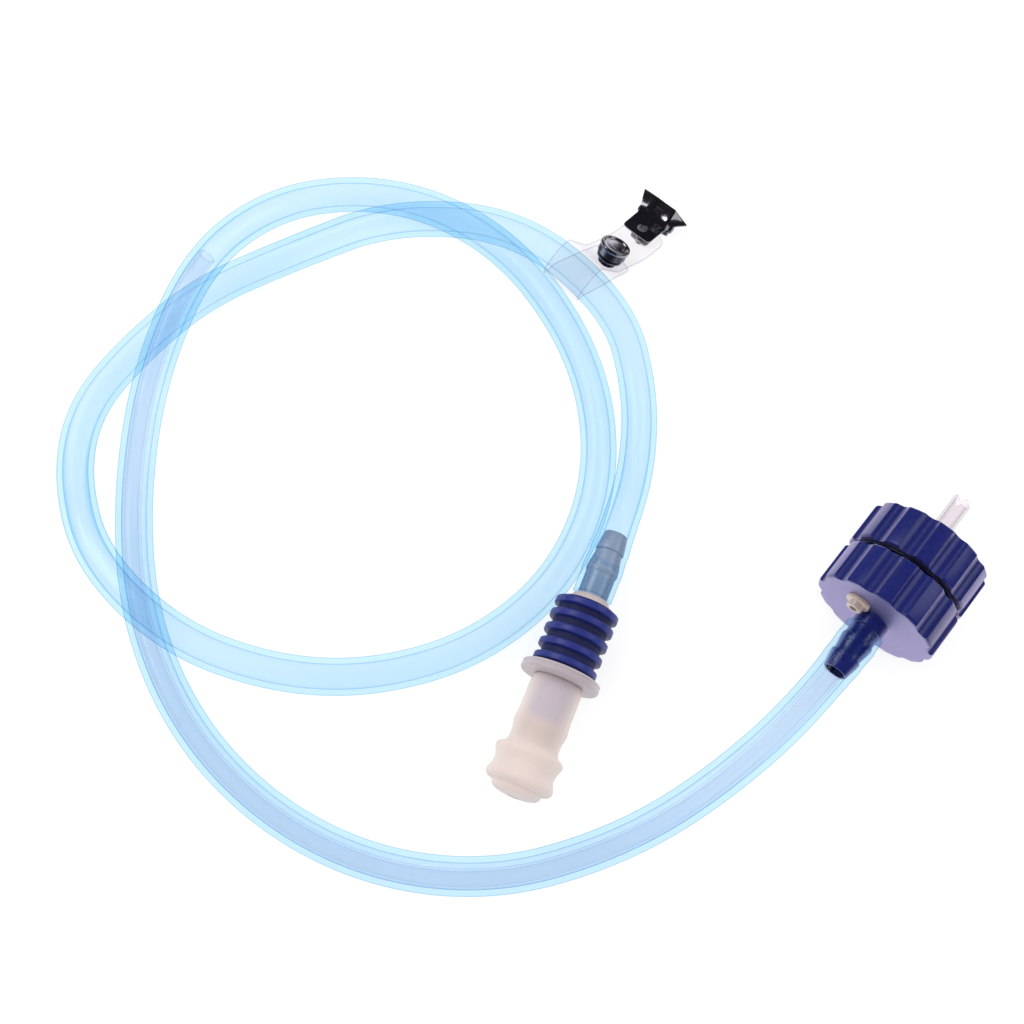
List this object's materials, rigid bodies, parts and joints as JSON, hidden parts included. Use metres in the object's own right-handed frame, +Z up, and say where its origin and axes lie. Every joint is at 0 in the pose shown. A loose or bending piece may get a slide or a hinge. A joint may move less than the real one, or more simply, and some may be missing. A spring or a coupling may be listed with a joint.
{
  "type": "bottle hydration tube kit",
  "caption": "Drink tube kit for a water bottle: fluted screw cap with adaptor ring, clear hose with suction straw, push-pull bite valve, and a strap with a sprung clip.",
  "frame": {"origin": "on the surface the kit lies on, under the middle of the box of its hard pieces (cap, valve, strap and clip), the hose and its inner straw left out", "axes": "+Z up from that surface; +Y from the valve's mouth end towards the clip; +X from the valve towards the cap"},
  "size_m": [0.2356, 0.1957, 0.0326],
  "materials": {
    "hose": "clear flexible tube with a pale blue tint",
    "straw": "translucent lilac-blue tube",
    "navy_plastic": "moulded navy plastic with a soft sheen",
    "navy_grip": "satin navy elastomer",
    "grey_plastic": "semi-clear grey moulded plastic",
    "spout_plastic": "frosted grey-pink moulded plastic",
    "silicone": "frosted translucent silicone",
    "seal": "soft white-grey silicone",
    "strap_vinyl": "clear vinyl",
    "black_nickel": "polished black-nickel plate",
    "steel": "bright spring steel"
  },
  "bodies": {
    "hose_kit": {"drink_hose": "hose", "inner_straw": "straw", "cap_body": "navy_plastic", "cap_gasket": "seal", "straw_seal": "seal", "vent_seat": "seal", "vent_flap": "seal", "valve_connector": "grey_plastic", "grip_sleeve": "navy_grip", "shutoff_plug": "grey_plastic"},
    "adaptor_lift": {"adaptor_washer": "seal"},
    "adaptor": {"adaptor_ring": "navy_plastic", "bottle_gasket": "seal"},
    "straw": {"straw_stub": "straw"},
    "spout": {"valve_spout": "spout_plastic", "spout_oring": "seal", "mouthpiece": "silicone"},
    "clip_strap": {"strap": "strap_vinyl", "snap_cap": "black_nickel", "snap_socket": "black_nickel", "snap_stud": "black_nickel", "snap_eyelet": "black_nickel", "clip_lower_jaw": "black_nickel", "clip_pin": "steel", "clip_spring": "steel", "clip_rivet": "black_nickel"},
    "upper_jaw": {"clip_upper_jaw": "black_nickel"}
  },
  "joints": [
    {"name": "adaptor_rise", "type": "slide", "parent": "hose_kit", "child": "adaptor_lift", "axis": [0.6303, 0.7764, 0], "range_m": [0, 0.0075]},
    {"name": "adaptor_turn", "type": "hinge", "parent": "adaptor_lift", "child": "adaptor", "pos_m": [0.0337, -0.04196, 0.0163], "axis": [0.6303, 0.7764, 0], "range_deg": [0, 900]},
    {"name": "straw_pull", "type": "slide", "parent": "hose_kit", "child": "straw", "axis": [0.6303, 0.7764, 0], "range_m": [0, 0.016]},
    {"name": "valve_pull", "type": "slide", "parent": "hose_kit", "child": "spout", "axis": [-0.3716, -0.9284, 0], "range_m": [0, 0.004]},
    {"name": "strap_swing", "type": "hinge", "parent": "hose_kit", "child": "clip_strap", "pos_m": [-0.03828, 0.05591, 0.01299], "axis": [0.752, -0.6388, -0.1626], "range_deg": [0, 150]},
    {"name": "jaw_open", "type": "hinge", "parent": "clip_strap", "child": "upper_jaw", "pos_m": [-0.01464, 0.07716, 0.0031], "axis": [0.7622, -0.6474, 0], "range_deg": [0, 28], "stiffness_Nm_per_rad": 0.02, "springref_deg": -20.05, "deforming": ["clip_spring"]}
  ],
  "couplings": [
    {"joint": "adaptor_rise", "follows": "adaptor_turn", "m_per_rad": 0.00047746}
  ]
}
